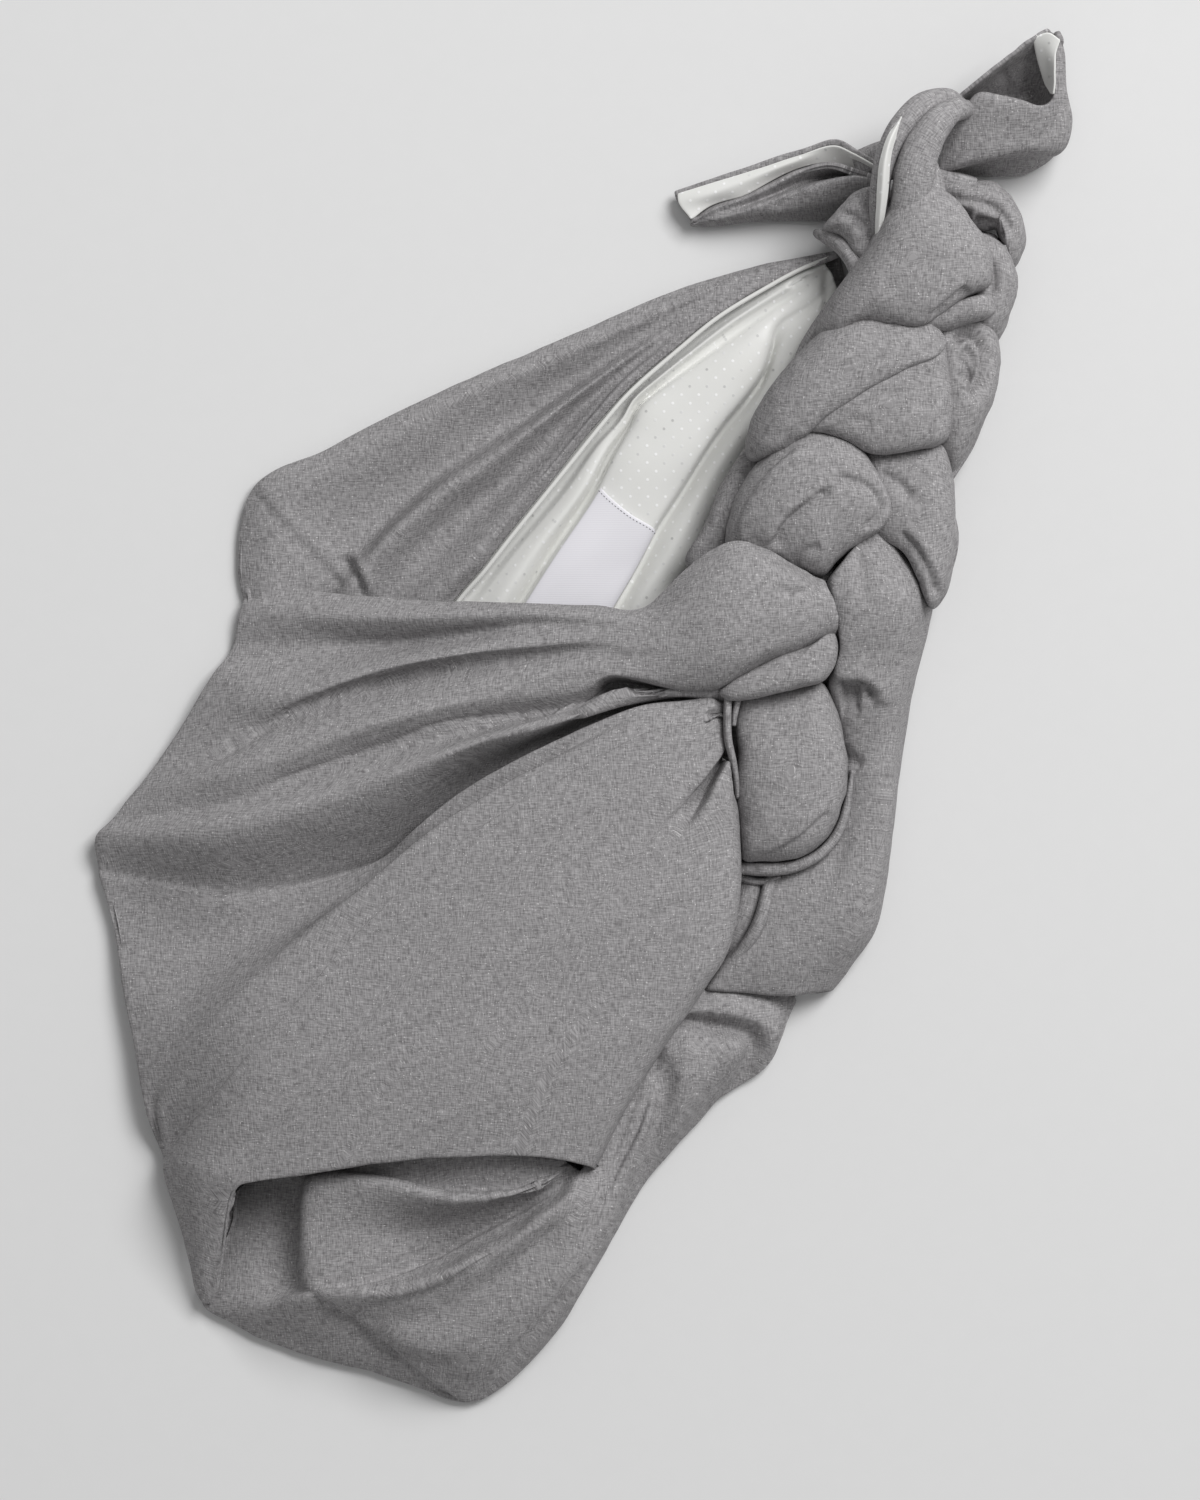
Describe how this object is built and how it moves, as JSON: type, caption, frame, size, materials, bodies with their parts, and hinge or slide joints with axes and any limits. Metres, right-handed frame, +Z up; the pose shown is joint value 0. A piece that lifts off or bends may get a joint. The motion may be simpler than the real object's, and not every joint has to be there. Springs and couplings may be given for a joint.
{
  "type": "bojagi bag",
  "caption": "Gray cloth bag wrapped from a pleated cloth over a white dotted lining, lying on its back, its open mouth beside plaited ties that end in a knot with free tails.",
  "frame": {"origin": "on the floor under the middle of the outline's box", "axes": "+Z up out of the side the bag shows as it lies on its back, +Y toward the knot and the mouth's upper end, +X toward the plaited ties"},
  "size_m": [0.3941, 0.5423, 0.0699],
  "materials": {
    "gray_cloth": "matte plain weave with small pale slubs",
    "tie_cloth": "matte plain weave with small pale slubs, same cloth as the bag",
    "white_satin": "off-white satin with staggered pin dots",
    "label_satin": "white woven satin, left bare"
  },
  "bodies": {
    "root": {"outer_cloth": "gray_cloth", "lining": "white_satin", "label": "label_satin", "tie_left": "tie_cloth", "tie_right": "tie_cloth", "tie_middle": "tie_cloth"}
  },
  "joints": []
}
